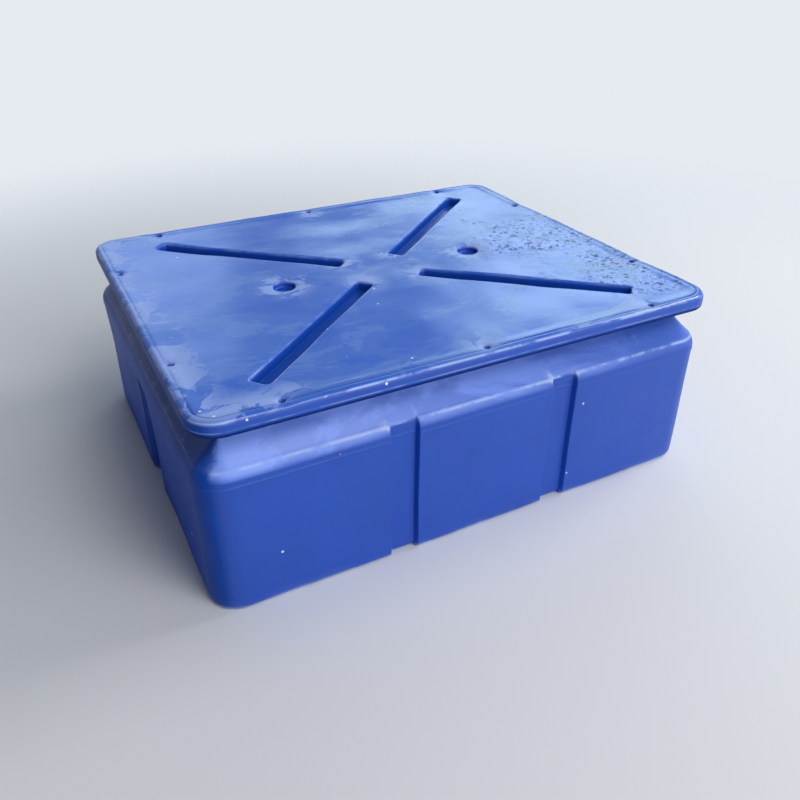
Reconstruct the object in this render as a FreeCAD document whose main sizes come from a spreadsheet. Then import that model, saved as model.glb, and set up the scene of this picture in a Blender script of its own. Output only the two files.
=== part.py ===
"""Dock float drum: one rotationally moulded block with a bolting flange round its top.

Frame: millimetres, +Z up, the origin at the centre of the underside.
+X runs along the long side of the flange and +Y along its short side.
Every driving dimension stands once, in the sheet, and the features read it from there.
"""
import FreeCAD, Part
import math
import os

import Sketcher

NODE = "float_shell"

# How closely an edge has to lie on a plane or a circle to count as on it, in millimetres,
# and how far past a line it has to reach to count as beyond it.
TINY = 1e-4
BEYOND = 1.0

# The turn a new sketch has until the sheet sets it, in degrees. At none its axis would be lost.
FIRST_TURN = 1.0

# Driving dimensions in millimetres and degrees, each a word that the features call by name.
SIZES = {
    # Flange: the thick plate that the dock frame is bolted to.
    "flange_length": 1200.0,
    "flange_width": 1000.0,
    "flange_thickness": 34.0,
    "flange_corner": 62.0,
    "flange_top_round": 12.0,
    "flange_foot_round": 7.0,
    # Neck under the flange, and the sloping shoulder that widens to the block.
    "neck_inset": 60.0,
    "neck_height": 31.0,
    "neck_corner": 6.0,
    "shoulder_drop": 58.0,
    "shoulder_round": 40.0,
    # Block: straight walls down to the underside. Its ends stand a little past the flange,
    # and its long sides a little short of it.
    "block_end_step": 6.0,
    "block_side_step": 2.0,
    "block_corner": 66.0,
    "overall_height": 445.0,
    "base_round": 15.0,
    # Upright channels: two in each long wall and a lower, wider one in each end wall.
    "side_channel_spread": 390.0,
    "side_channel_width": 60.0,
    "end_channel_width": 106.0,
    "end_channel_drop": 55.0,
    "end_channel_corner": 14.0,
    "channel_depth": 12.0,
    # Four slanting grooves that stiffen the top, from near its middle to a place in each corner.
    "groove_start": 99.0,
    "groove_end_gap": 154.0,
    "groove_side_gap": 106.5,
    "groove_width": 42.0,
    "groove_depth": 22.0,
    "groove_corner": 9.0,
    "groove_draft": 12.0,
    "groove_lip": 4.0,
    # Two round blind dimples on the long axis of the top.
    "dimple_spread": 500.0,
    "dimple_diameter": 52.0,
    "dimple_depth": 14.0,
    "dimple_draft": 8.0,
    "dimple_lip": 3.0,
    # Ten bolt holes through the overhang of the flange, each in a shallow dish.
    "bolt_hole_diameter": 14.0,
    "bolt_edge_gap": 27.0,
    "side_bolt_spread": 860.0,
    "end_bolt_spread": 506.0,
    "bolt_dish_width": 6.0,
    "bolt_dish_depth": 1.6,
}

# Heights above the underside, the block's plan and the grooves' run, worked out from the sizes.
WORKED_OUT = {
    "flange_foot": "overall_height - flange_thickness",
    "neck_foot": "flange_foot - neck_height",
    "shoulder_line": "neck_foot - shoulder_drop",
    "end_channel_top": "shoulder_line - end_channel_drop",
    "block_length": "flange_length + 2 * block_end_step",
    "block_width": "flange_width - 2 * block_side_step",
    "groove_end_across": "flange_length / 2 - groove_end_gap",
    "groove_end_along": "flange_width / 2 - groove_side_gap",
    "groove_heading": "atan(groove_end_along / groove_end_across) / 1deg",
    "groove_end": "hypot(groove_end_across; groove_end_along)",
}

doc = FreeCAD.newDocument("dock_float_drum")


def write_sheet():
    """Put every driving dimension and every worked-out one in the sheet, one row each."""
    cells = doc.addObject("Spreadsheet::Sheet", "sizes")
    entries = [(name, str(value)) for name, value in SIZES.items()]
    entries += [(name, "=" + formula) for name, formula in WORKED_OUT.items()]
    for row, (name, content) in enumerate(entries, 1):
        cells.set("A%d" % row, name)
        cells.set("B%d" % row, content)
        cells.setAlias("B%d" % row, name)
    doc.recompute()
    return cells


sheet = write_sheet()
body = doc.addObject("PartDesign::Body", NODE)
body.Label = NODE


def now(expression):
    """The present value of an expression on the sheet's cells."""
    return float(sheet.evalExpression(expression))


def sketch_at(name, height, turn=None):
    """An empty level sketch on the body's base plane, raised, and turned about +Z if asked."""
    base_plane = [item for item in body.Origin.OriginFeatures if item.Role == "XY_Plane"][0]
    sketch = body.newObject("Sketcher::SketchObject", name)
    sketch.AttachmentSupport = (base_plane, [""])
    sketch.MapMode = "FlatFace"
    upright = FreeCAD.Vector(0, 0, 1)
    first = FreeCAD.Rotation(upright, FIRST_TURN)
    sketch.AttachmentOffset = FreeCAD.Placement(FreeCAD.Vector(), first)
    sketch.setExpression("AttachmentOffset.Rotation.Angle", turn or "0")
    sketch.setExpression("AttachmentOffset.Base.z", height)
    return sketch


def dimension(sketch, name, constraint, expression):
    """Add a driving dimension to a sketch and tie it to the sheet."""
    index = sketch.addConstraint(constraint)
    sketch.renameConstraint(index, name)
    sketch.setExpression("Constraints." + name, expression)


def offset_from_origin(sketch, name, direction, point, side, expression):
    """Hold a point at a distance from the origin, on its negative or positive side."""
    ends = (-1, 1) + point if side > 0 else point + (-1, 1)
    constraint = Sketcher.Constraint("Distance" + direction, *ends, now(expression))
    dimension(sketch, name, constraint, expression)


def rectangle(name, height, left, right, near, far, corner=None, turn=None):
    """A level rectangle; each side is a pair of its sign and its distance from the origin."""
    sketch = sketch_at(name, height, turn)
    x_left, x_right, y_near, y_far = [sign * now(text) for sign, text in (left, right, near, far)]
    radius = now(corner) if corner else 0.0
    at = FreeCAD.Vector
    sketch.addGeometry([
        Part.LineSegment(at(x_left + radius, y_near), at(x_right - radius, y_near)),
        Part.LineSegment(at(x_right, y_near + radius), at(x_right, y_far - radius)),
        Part.LineSegment(at(x_right - radius, y_far), at(x_left + radius, y_far)),
        Part.LineSegment(at(x_left, y_far - radius), at(x_left, y_near + radius)),
    ], False)
    if corner:
        centres = [
            at(x_right - radius, y_near + radius), at(x_right - radius, y_far - radius),
            at(x_left + radius, y_far - radius), at(x_left + radius, y_near + radius),
        ]
        for quarter, centre in enumerate(centres):
            circle = Part.Circle(centre, at(0, 0, 1), radius)
            start = (quarter - 1) * math.pi / 2
            sketch.addGeometry(Part.ArcOfCircle(circle, start, start + math.pi / 2), False)
            sketch.addConstraint(Sketcher.Constraint("Tangent", quarter, 2, 4 + quarter, 1))
            follower = (quarter + 1) % 4
            sketch.addConstraint(Sketcher.Constraint("Tangent", 4 + quarter, 2, follower, 1))
            if quarter:
                sketch.addConstraint(Sketcher.Constraint("Equal", 4, 4 + quarter))
        dimension(sketch, "corner", Sketcher.Constraint("Radius", 4, radius), corner)
    else:
        for side in range(4):
            follower = (side + 1) % 4
            sketch.addConstraint(Sketcher.Constraint("Coincident", side, 2, follower, 1))
    for level_side in (0, 2):
        sketch.addConstraint(Sketcher.Constraint("Horizontal", level_side))
    for upright_side in (1, 3):
        sketch.addConstraint(Sketcher.Constraint("Vertical", upright_side))
    offset_from_origin(sketch, "left_side", "X", (3, 1), *left)
    offset_from_origin(sketch, "right_side", "X", (1, 1), *right)
    offset_from_origin(sketch, "near_side", "Y", (0, 1), *near)
    offset_from_origin(sketch, "far_side", "Y", (2, 1), *far)
    return sketch


def centred(name, height, half_length, half_width, corner):
    """A rectangle with round corners about the origin."""
    return rectangle(
        name, height, (-1, half_length), (1, half_length), (-1, half_width), (1, half_width), corner
    )


def circles(name, height, centres, diameter):
    """Equal circles; a centre is a pair (sign, distance) along X and another along Y."""
    sketch = sketch_at(name, height)
    for index, (across, along) in enumerate(centres):
        centre = FreeCAD.Vector(across[0] * now(across[1]), along[0] * now(along[1]))
        circle = Part.Circle(centre, FreeCAD.Vector(0, 0, 1), now(diameter) / 2)
        sketch.addGeometry(circle, False)
        for direction, axis, (sign, text) in (("X", -2, across), ("Y", -1, along)):
            if sign:
                label = "%s_%d" % (direction.lower(), index)
                offset_from_origin(sketch, label, direction, (index, 3), sign, text)
            else:
                sketch.addConstraint(Sketcher.Constraint("PointOnObject", index, 3, axis))
        if index:
            sketch.addConstraint(Sketcher.Constraint("Equal", 0, index))
    dimension(sketch, "diameter", Sketcher.Constraint("Diameter", 0, now(diameter)), diameter)
    return sketch


def pad(name, sketch, length):
    """Raise a sketch into solid."""
    feature = body.newObject("PartDesign::Pad", name)
    feature.Profile = sketch
    feature.setExpression("Length", length)
    doc.recompute()


def pocket(name, sketch, depth, upwards=False, draft=None):
    """Cut a sketch down into the solid, or upwards, with walls that lean in as it deepens."""
    feature = body.newObject("PartDesign::Pocket", name)
    feature.Profile = sketch
    feature.Reversed = upwards
    feature.setExpression("Length", depth)
    if draft:
        feature.setExpression("TaperAngle", "-" + draft)
    before = feature.BaseFeature.Shape.Volume
    doc.recompute()
    if feature.Shape.Volume >= before:
        raise RuntimeError("%s cut nothing" % name)


def chosen_edges(test):
    """The names of the present solid's edges that pass a test."""
    return ["Edge%d" % number for number, edge in enumerate(body.Shape.Edges, 1) if test(edge)]


def round_edges(name, radius, test):
    """Fillet every present edge that passes a test."""
    base = body.Tip
    names = chosen_edges(test)
    feature = body.newObject("PartDesign::Fillet", name)
    feature.Base = (base, names)
    feature.setExpression("Radius", radius)
    doc.recompute()


def bevel_edges(name, size, test, drop=None):
    """Chamfer every present edge that passes a test, evenly or with a drop of its own."""
    base = body.Tip
    names = chosen_edges(test)
    feature = body.newObject("PartDesign::Chamfer", name)
    feature.Base = (base, names)
    if drop:
        feature.ChamferType = "Two distances"
        feature.setExpression("Size2", drop)
    feature.setExpression("Size", size)
    doc.recompute()


def level_at(edge, height):
    """Whether an edge lies wholly at one height."""
    return max(abs(edge.BoundBox.ZMin - height), abs(edge.BoundBox.ZMax - height)) < TINY


def reach(edge):
    """How far an edge gets from the axis, along X and along Y."""
    box = edge.BoundBox
    return max(abs(box.XMin), abs(box.XMax)), max(abs(box.YMin), abs(box.YMax))


# Flange, neck, shoulder and block, from the top down
HALF_FLANGE = ("sizes.flange_length / 2", "sizes.flange_width / 2", "sizes.flange_corner")
HALF_BLOCK = ("sizes.block_length / 2", "sizes.block_width / 2", "sizes.block_corner")
HALF_NECK = (
    "sizes.block_length / 2 - sizes.neck_inset",
    "sizes.block_width / 2 - sizes.neck_inset",
    "sizes.neck_corner",
)
pad("flange", centred("flange_outline", "sizes.flange_foot", *HALF_FLANGE), "sizes.flange_thickness")
pad("neck", centred("neck_outline", "sizes.neck_foot", *HALF_NECK), "sizes.neck_height")

shoulder_top = centred("shoulder_top", "sizes.neck_foot", *HALF_NECK)
shoulder_foot = centred("shoulder_foot", "sizes.shoulder_line", *HALF_BLOCK)
shoulder = body.newObject("PartDesign::AdditiveLoft", "shoulder")
shoulder.Profile = shoulder_top
shoulder.Sections = [shoulder_foot]
shoulder.Ruled = True
doc.recompute()

pad("block", centred("block_outline", "0", *HALF_BLOCK), "sizes.shoulder_line")


# Soft outer edges, as the mould leaves them
def beyond_neck(edge):
    """Whether an edge reaches past the outline of the neck."""
    across, along = reach(edge)
    return across > now(HALF_NECK[0]) + BEYOND or along > now(HALF_NECK[1]) + BEYOND


def on_flange_foot(edge):
    """Whether an edge is the lower arris of the flange."""
    return level_at(edge, now("sizes.flange_foot")) and beyond_neck(edge)


round_edges("shoulder_rounding", "sizes.shoulder_round",
            lambda edge: level_at(edge, now("sizes.shoulder_line")))
round_edges("base_rounding", "sizes.base_round", lambda edge: level_at(edge, 0.0))
round_edges("flange_top_rounding", "sizes.flange_top_round",
            lambda edge: level_at(edge, now("sizes.overall_height")))
round_edges("flange_foot_rounding", "sizes.flange_foot_round", on_flange_foot)


# Upright channels, all open at the underside
SIDE_WALL = "sizes.block_width / 2"
END_WALL = "sizes.block_length / 2"
INWARD = " - sizes.channel_depth"
OUTWARD = " + sizes.channel_depth"
SIDE_INNER = "(sizes.side_channel_spread - sizes.side_channel_width) / 2"
SIDE_OUTER = "(sizes.side_channel_spread + sizes.side_channel_width) / 2"
END_HALF = "sizes.end_channel_width / 2"


def wall_band(side, wall):
    """The two bounds of a cut that straddles a wall on the negative or positive side."""
    floor = (side, wall + INWARD)
    outside = (side, wall + OUTWARD)
    return (floor, outside) if side > 0 else (outside, floor)


def side_channel(number, side, half):
    """One channel of a long wall, which runs out on the slope of the shoulder."""
    span = ((half, SIDE_INNER), (half, SIDE_OUTER))
    left, right = span if half > 0 else reversed(span)
    plan = rectangle("side_channel_%d_plan" % number, "0", left, right, *wall_band(side, SIDE_WALL))
    pocket("side_channel_%d" % number, plan, "sizes.neck_foot", upwards=True)


def end_channel(number, side):
    """The channel of an end wall, which is closed below the shoulder."""
    left, right = wall_band(side, END_WALL)
    plan = rectangle("end_channel_%d_plan" % number, "0", left, right, (-1, END_HALF), (1, END_HALF))
    pocket("end_channel_%d" % number, plan, "sizes.end_channel_top", upwards=True)


side_channel(1, -1, -1)
side_channel(2, -1, 1)
side_channel(3, 1, -1)
side_channel(4, 1, 1)
end_channel(1, -1)
end_channel(2, 1)


def across_end_wall(edge):
    """Whether an edge is an upper corner of an end channel, running in from the wall."""
    box = edge.BoundBox
    along = reach(edge)[1]
    straight_in = box.YLength < TINY and box.ZLength < TINY
    return (straight_in and level_at(edge, now("sizes.end_channel_top"))
            and abs(along - now(END_HALF)) < TINY)


round_edges("end_channel_corners", "sizes.end_channel_corner", across_end_wall)


# Slanting grooves in the top, one towards each corner of the flange
TOP = "sizes.overall_height"


def on_inner_top(edge):
    """Whether an edge lies in the flat top, inboard of the rounded rim."""
    across, along = reach(edge)
    inboard = (
        across < now("sizes.flange_length / 2 - sizes.flange_top_round") - BEYOND
        and along < now("sizes.flange_width / 2 - sizes.flange_top_round") - BEYOND
    )
    return inboard and level_at(edge, now(TOP))


GROOVE = (
    (1, "sizes.groove_start"),
    (1, "sizes.groove_end"),
    (-1, "sizes.groove_width / 2"),
    (1, "sizes.groove_width / 2"),
    "sizes.groove_corner",
)
HEADINGS = (
    "sizes.groove_heading",
    "180 - sizes.groove_heading",
    "180 + sizes.groove_heading",
    "360 - sizes.groove_heading",
)
for number, heading in enumerate(HEADINGS, 1):
    plan = rectangle("groove_%d_plan" % number, TOP, *GROOVE, turn=heading)
    pocket("groove_%d" % number, plan, "sizes.groove_depth", draft="sizes.groove_draft")
bevel_edges("groove_lips", "sizes.groove_lip", on_inner_top)

# Round blind dimples on the long axis
HALF_SPREAD = "sizes.dimple_spread / 2"
dimple_plan = circles(
    "dimple_plan", TOP, [((-1, HALF_SPREAD), (0, "0")), ((1, HALF_SPREAD), (0, "0"))],
    "sizes.dimple_diameter",
)
pocket("dimples", dimple_plan, "sizes.dimple_depth", draft="sizes.dimple_draft")


def on_dimple_lip(edge):
    """Whether an edge is the mouth of a dimple."""
    is_circle = isinstance(edge.Curve, Part.Circle)
    radius = now("sizes.dimple_diameter / 2")
    return is_circle and on_inner_top(edge) and abs(edge.Curve.Radius - radius) < TINY


bevel_edges("dimple_lips", "sizes.dimple_lip", on_dimple_lip)

# Bolt holes: three along each long side and two along each short side
SIDE_ROW = "sizes.flange_width / 2 - sizes.bolt_edge_gap"
END_ROW = "sizes.flange_length / 2 - sizes.bolt_edge_gap"
SIDE_BOLT = "sizes.side_bolt_spread / 2"
END_BOLT = "sizes.end_bolt_spread / 2"
bolt_centres = [((along, SIDE_BOLT), (row, SIDE_ROW)) for row in (-1, 1) for along in (-1, 0, 1)]
bolt_centres += [((row, END_ROW), (along, END_BOLT)) for row in (-1, 1) for along in (-1, 1)]
bolt_plan = circles("bolt_hole_plan", TOP, bolt_centres, "sizes.bolt_hole_diameter")
pocket("bolt_holes", bolt_plan, "sizes.flange_thickness")


def on_bolt_mouth(edge):
    """Whether an edge is the upper mouth of a bolt hole."""
    is_circle = isinstance(edge.Curve, Part.Circle)
    radius = now("sizes.bolt_hole_diameter / 2")
    return is_circle and level_at(edge, now(TOP)) and abs(edge.Curve.Radius - radius) < TINY


bevel_edges("bolt_dishes", "sizes.bolt_dish_width", on_bolt_mouth, "sizes.bolt_dish_depth")


def check_and_write():
    """Stop on any failed object or solid, then write the one piece as a STEP file."""
    doc.recompute()
    for item in doc.Objects:
        if {"Invalid", "Error"} & set(item.State):
            raise RuntimeError("%s failed: %s" % (item.Name, item.State))
    shape = body.Shape
    if shape.isNull() or not shape.isValid() or len(shape.Solids) != 1:
        raise RuntimeError("%s is not one valid solid" % body.Label)
    os.makedirs("parts", exist_ok=True)
    shape.exportStep("parts/%s.step" % body.Label)
    print("%s: %.4f cubic metres, %d faces" % (body.Label, shape.Volume / 1e9, len(shape.Faces)))


check_and_write()
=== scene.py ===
# %% [markdown]
# # A moulded dock float
#
# The object is a float that carries a floating dock. It is one skin of polyethylene, baked on to the
# inside of a turning mould, so every edge is soft, no face is quite flat, and a thin line of flash runs
# round it where the two halves of the mould met. This lesson rebuilds that skin as one closed mesh
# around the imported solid, gives it the blue plastic's finish, and lights it with soft boxes.

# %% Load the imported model
import math

import bmesh
import bpy
import numpy as np
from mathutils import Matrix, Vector
from mathutils.geometry import delaunay_2d_cdt


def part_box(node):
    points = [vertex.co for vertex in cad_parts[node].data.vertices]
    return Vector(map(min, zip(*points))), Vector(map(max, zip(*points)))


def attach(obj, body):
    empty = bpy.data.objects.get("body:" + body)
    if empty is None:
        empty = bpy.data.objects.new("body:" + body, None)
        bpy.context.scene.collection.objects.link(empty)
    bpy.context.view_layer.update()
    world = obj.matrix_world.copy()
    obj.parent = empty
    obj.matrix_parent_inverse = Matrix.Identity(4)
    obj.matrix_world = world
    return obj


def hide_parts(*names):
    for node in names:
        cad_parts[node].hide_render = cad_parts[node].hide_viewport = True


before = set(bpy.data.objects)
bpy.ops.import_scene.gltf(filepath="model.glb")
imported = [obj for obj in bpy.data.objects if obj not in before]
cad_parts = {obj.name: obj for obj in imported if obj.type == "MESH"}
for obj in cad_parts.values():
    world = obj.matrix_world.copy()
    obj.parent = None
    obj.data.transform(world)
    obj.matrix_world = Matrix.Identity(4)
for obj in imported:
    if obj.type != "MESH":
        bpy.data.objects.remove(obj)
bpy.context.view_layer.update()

NODE = "float_shell"

# %% [markdown]
# ## The sizes
#
# All forms are worked out in millimetres, and turned to metres when a mesh is made. The outer sizes come
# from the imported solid. The flange and the block under it are both rectangles with round corners, so each
# is kept as a core rectangle, which is the outline pulled in by its own corner radius. Any outline
# parallel to it is then the core plus a distance along the outward direction.

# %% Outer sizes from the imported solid
MM = 0.001
box_high = np.array(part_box(NODE)[1]) / MM
BLOCK_END_STEP = 6.0  # past the flange
BLOCK_SIDE_STEP = 2.0  # inside it
BLOCK_CORNER = 66.0
FLANGE_CORNER = 62.0
half_flange = np.array([box_high[0] - BLOCK_END_STEP, box_high[1]])
half_block = np.array([box_high[0], box_high[1] - BLOCK_SIDE_STEP])
top_height = box_high[2]
print("flange", 2 * half_flange, "block", 2 * half_block, "height", top_height)

# %% [markdown]
# ## Paths and sections
#
# The flange and the walls are each a section carried round a path. A path is a row of places on the core
# rectangle with an outward direction at each: straight runs where the direction stays the same, and
# quarter turns where the place stays and the direction swings. A section is a line of points, each an
# inset from the outline and a height, whose corners are true arcs. A Bevel modifier would round the
# corners too, but it puts no rows where the flash and the bead need them. The arcs take more rows than
# the straight runs, because a gloss shows every facet.


# %% Helpers for paths
def spaced(start, stop, longest):
    """Even places from start to stop, no further apart than the longest step."""
    return np.linspace(start, stop, int(np.ceil(abs(stop - start) / longest)) + 1)


def knots(reach, longest, edges=(), span=12.0, fine=1.5):
    """Places from -reach to reach, evenly spread, and closer together within a span of each edge.

    An even place is left out where it lies within a quarter step of a close one.
    """
    even = spaced(-reach, reach, longest)
    if not len(edges):
        return even
    close = np.concatenate([spaced(edge - span, edge + span, fine) for edge in edges])
    clear = np.abs(even[:, None] - close[None, :]).min(axis=1) > longest / 4
    return np.sort(np.concatenate([even[clear], close]))


def path_round(core, across, along, turn_steps=18):
    """The core places and outward directions of one lap, anticlockwise from the near left corner.

    A straight run keeps its direction while its place moves. A quarter turn keeps its place at a corner
    of the core while its direction swings through the cosine and sine of the angle.
    """
    swing = np.linspace(0, np.pi / 2, turn_steps + 1)[1:-1]
    places, outward = [], []
    runs = ((across, 0, -1), (along, 1, 0), (-across, 0, 1), (-along, -1, 0))
    for quarter, (run, x, y) in enumerate(runs):
        side = np.outer(np.ones_like(run), [x, y]) * core
        side[:, 0 if y else 1] = run
        places += [side, np.outer(np.ones_like(swing), side[-1])]
        angle = swing + (quarter - 1) * np.pi / 2
        turned = np.stack([np.cos(angle), np.sin(angle)], axis=1)
        outward += [np.outer(np.ones_like(run), [x, y]), turned]
    return np.concatenate(places), np.concatenate(outward)


print("100 mm in steps of 30 mm at most:", spaced(0, 100, 30))

# %% Helpers for sections
ARC_STEP = 1.6  # mm between the points of a wide arc
ARC_TURN = math.radians(4)  # the turn between the points of a tight one


def unit(vector):
    """The vector at length one."""
    return vector / np.linalg.norm(vector)


def rounded_line(corners, radii):
    """A line through corners, each inner one an arc of its own radius.

    The arc's centre lies on the bisector, at the radius divided by the cosine of half the turn, and its
    points swing about that centre by half the turn each way. They lie an arc step or a small turn apart,
    whichever asks for fewer.
    """
    corners = np.array(corners, float)
    parts = [corners[:1]]
    for before, here, after, radius in zip(corners, corners[1:], corners[2:], radii):
        into, out = unit(here - before), unit(after - here)
        turn = np.arccos(into @ out)
        ahead, inward = unit(into + out), unit(out - into)
        centre = here + inward * radius / np.cos(turn / 2)
        steps = math.ceil(min(turn * radius / ARC_STEP, turn / ARC_TURN))
        swing = np.linspace(-turn / 2, turn / 2, steps + 1)[:, None]
        parts.append(centre + radius * (np.sin(swing) * ahead - np.cos(swing) * inward))
    return np.concatenate(parts + [corners[-1:]])


def filled(line, longest, heights=()):
    """The line with its long stretches divided, and with more rows where it passes given heights."""
    step = np.linalg.norm(np.diff(line, axis=0), axis=1)
    run = np.concatenate([[0], np.cumsum(step)])
    passes = np.interp(-np.array(heights, float), -line[:, 1], run)
    rows = np.concatenate([spaced(a, b, longest) for a, b in zip(run, run[1:])] + [passes])
    rows = np.unique(np.round(rows, 3))
    return np.stack([np.interp(rows, run, line[:, 0]), np.interp(rows, run, line[:, 1])], axis=1)


print("points of a right angle rounded by 10 mm:", len(rounded_line([(0, 0), (20, 0), (20, 20)], (10,))))


# %% Two curves that blend
def ease(value, start, stop):
    """A smooth step: 0 up to start, 1 from stop, with a cubic between."""
    t = np.clip((value - start) / (stop - start), 0, 1)
    return t * t * (3 - 2 * t)


def hump(value, middle, reach):
    """A bell curve of height one about the middle, which has died away at twice its reach."""
    return np.exp(-(((value - middle) / reach) ** 2))


print("a bell of reach 10 at 0, 10 and 20:", hump(np.array([0, 10, 20]), 0, 10).round(3))

# %% [markdown]
# ## The unevenness of the skin
#
# A skin that cools in an open mould sags and draws in by a millimetre or so, in waves a hand wide and
# longer. It shows as the way that reflections bend. A Displace modifier with a cloud texture could do it,
# but the mesh's own functions need to know the waves, so that the patches still meet. The waves are a sum
# of plane sine waves from a fixed seed, read at a point in space, so they run on from the top over the
# rim to the walls with no break.

# %% Waves in the skin
WAVE_SEED = 41
WAVE_COUNT = 16
WAVE_SHORTEST = 95.0
WAVE_LONGEST = 420.0
WAVE_SLOPE = 0.0085
draw = np.random.default_rng(WAVE_SEED)
wave_lengths = np.geomspace(WAVE_SHORTEST, WAVE_LONGEST, WAVE_COUNT)
wave_directions = draw.normal(size=(WAVE_COUNT, 3))
wave_directions /= np.linalg.norm(wave_directions, axis=1)[:, None]
wave_vectors = wave_directions * (2 * np.pi / wave_lengths)[:, None]
wave_phases = draw.uniform(0, 2 * np.pi, WAVE_COUNT)
wave_heights = WAVE_SLOPE * wave_lengths / (2 * np.pi)


def waves(points):
    """Height of the waves at points in space: the sum of sines of place times wave vector plus phase."""
    return np.sin(points @ wave_vectors.T + wave_phases) @ wave_heights


print("waves of", wave_lengths.round().astype(int), "mm, the highest", wave_heights.max().round(2), "mm")

# %% [markdown]
# ## The form of the top
#
# The top is one sheet with grooves, dimples and bolt holes in it. They could be cut with booleans, which
# leave hard edges and long thin faces. But a form like that is a height above a plan, so one function
# gives the height at any place: the level of the rim, less each hollow, whose depth is read from a
# section by the distance to its outline. The signed distance to a rectangle with round corners serves
# the rim, the grooves and the end channels alike.


# %% Distance to a rectangle with round corners
def round_box(points, half, corner):
    """Signed distance to a rectangle with round corners, negative inside.

    It is the length of what sticks out past the core, plus the larger of the two shortfalls where the
    place is inside the core, less the corner's radius.
    """
    over = np.abs(points) - (np.asarray(half) - corner)
    return np.linalg.norm(np.maximum(over, 0), axis=-1) + np.minimum(over.max(axis=-1), 0) - corner


def depth_in(section, distance):
    """The height of a section at a signed distance. The section runs from outside to inside."""
    return np.interp(distance, section[::-1, 0], section[::-1, 1])


def from_nearest(points, middles):
    """The distance of every place from the nearest of some middles."""
    return np.linalg.norm(points[..., None, :] - middles, axis=-1).min(axis=-1)


print("from the middle of the top to its rim:", -round_box(np.zeros(2), half_flange, FLANGE_CORNER), "mm")

# %% Grooves: place, outline and section
FORM_ROWS = 4.0  # the longest step between the rows of a small form
GROOVE_START = 99.0  # from the middle of the top
GROOVE_END_GAPS = np.array([154.0, 106.5])  # from the flange's outline
GROOVE_HALF_WIDTH = 21.0
GROOVE_CORNER = 9.0
GROOVE_DEPTH = 22.0
GROOVE_DRAFT = math.radians(12)
GROOVE_LIP_ROUND = 9.0
GROOVE_FOOT_ROUND = 3.5
GROOVE_RUN_OUT = 20.0  # how far outside its outline the section starts
groove_end = half_flange - GROOVE_END_GAPS
groove_reach = np.linalg.norm(groove_end)
groove_middle = (GROOVE_START + groove_reach) / 2
groove_half = np.array([(groove_reach - GROOVE_START) / 2, GROOVE_HALF_WIDTH])
groove_lean = GROOVE_DEPTH * math.tan(GROOVE_DRAFT)
groove_corners = [
    (GROOVE_RUN_OUT, 0), (0, 0), (-groove_lean, -GROOVE_DEPTH), (-GROOVE_HALF_WIDTH, -GROOVE_DEPTH),
]
groove_section = filled(rounded_line(groove_corners, (GROOVE_LIP_ROUND, GROOVE_FOOT_ROUND)), FORM_ROWS)
groove_ways = [unit(groove_end * signs) for signs in ((1, 1), (-1, 1), (-1, -1), (1, -1))]
print("grooves from", GROOVE_START, "to", groove_reach.round(1), "mm from the middle")


def from_nearest_groove(points):
    """Signed distance to the nearest groove, in the groove's own frame: along its way and across it."""
    distances = []
    for way in groove_ways:
        along = points @ way - groove_middle
        across = points @ np.array([-way[1], way[0]])
        distances.append(round_box(np.stack([along, across], axis=-1), groove_half, GROOVE_CORNER))
    return np.min(distances, axis=0)


# %% Dimples
DIMPLE_RADIUS = 26.0
DIMPLE_DEPTH = 15.0
DIMPLE_LEAN = 2.0
DIMPLE_DISH_REACH = 28.0  # each lies in a wide shallow dish
DIMPLE_DISH_DEPTH = 2.0
dimple_middles = np.array([(-250.0, 0.0), (250.0, 0.0)])
dimple_corners = [
    (DIMPLE_DISH_REACH + 16, 0), (DIMPLE_DISH_REACH, 0), (0, -DIMPLE_DISH_DEPTH),
    (-DIMPLE_LEAN, -DIMPLE_DEPTH), (-DIMPLE_RADIUS, -DIMPLE_DEPTH),
]
dimple_radii = (60.0, 5.0, 4.0)  # of the dish's edge, the lip and the foot
dimple_section = filled(rounded_line(dimple_corners, dimple_radii), FORM_ROWS)
print(len(dimple_middles), "dimples of", len(dimple_section), "rows")

# %% Bolt holes
BOLT_RADIUS = 7.0
BOLT_EDGE_GAP = 27.0
BOLT_SIDE_PLACES = (-430.0, 0.0, 430.0)
BOLT_END_PLACES = (-253.0, 253.0)
DIP_DEPTH = 1.7  # the skin sinks in round each hole
DIP_REACH = 27.0
# A dish starts 6.5 mm outside the hole and is 1.8 mm deep beside it, and the hole's edge is soft.
bolt_section = filled(rounded_line([(9, 0), (6.5, 0), (0.5, -1.8), (0, -2.6)], (4.0, 1.0)), 1.0)
side_row = half_flange[1] - BOLT_EDGE_GAP
end_row = half_flange[0] - BOLT_EDGE_GAP
bolt_middles = np.array(
    [(x, y) for y in (-side_row, side_row) for x in BOLT_SIDE_PLACES]
    + [(x, y) for x in (-end_row, end_row) for y in BOLT_END_PLACES]
)
print(len(bolt_middles), "bolt holes of", 2 * BOLT_RADIUS, "mm")

# %% The height of the top at any place
# The rim from the inside out, as inset and height: the sunk field, a low ridge, a narrow moulded line
# 17.5 mm in, and the level outside it.
RIM_SECTION = np.array([
    (60, -1.8), (42, -1.7), (36, -1.2), (30, -0.5), (24, -0.25),
    (20, -0.35), (17.5, -0.95), (15.5, -0.4), (13, 0.0), (0, 0.0),
])
SAG = 2.2


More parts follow.
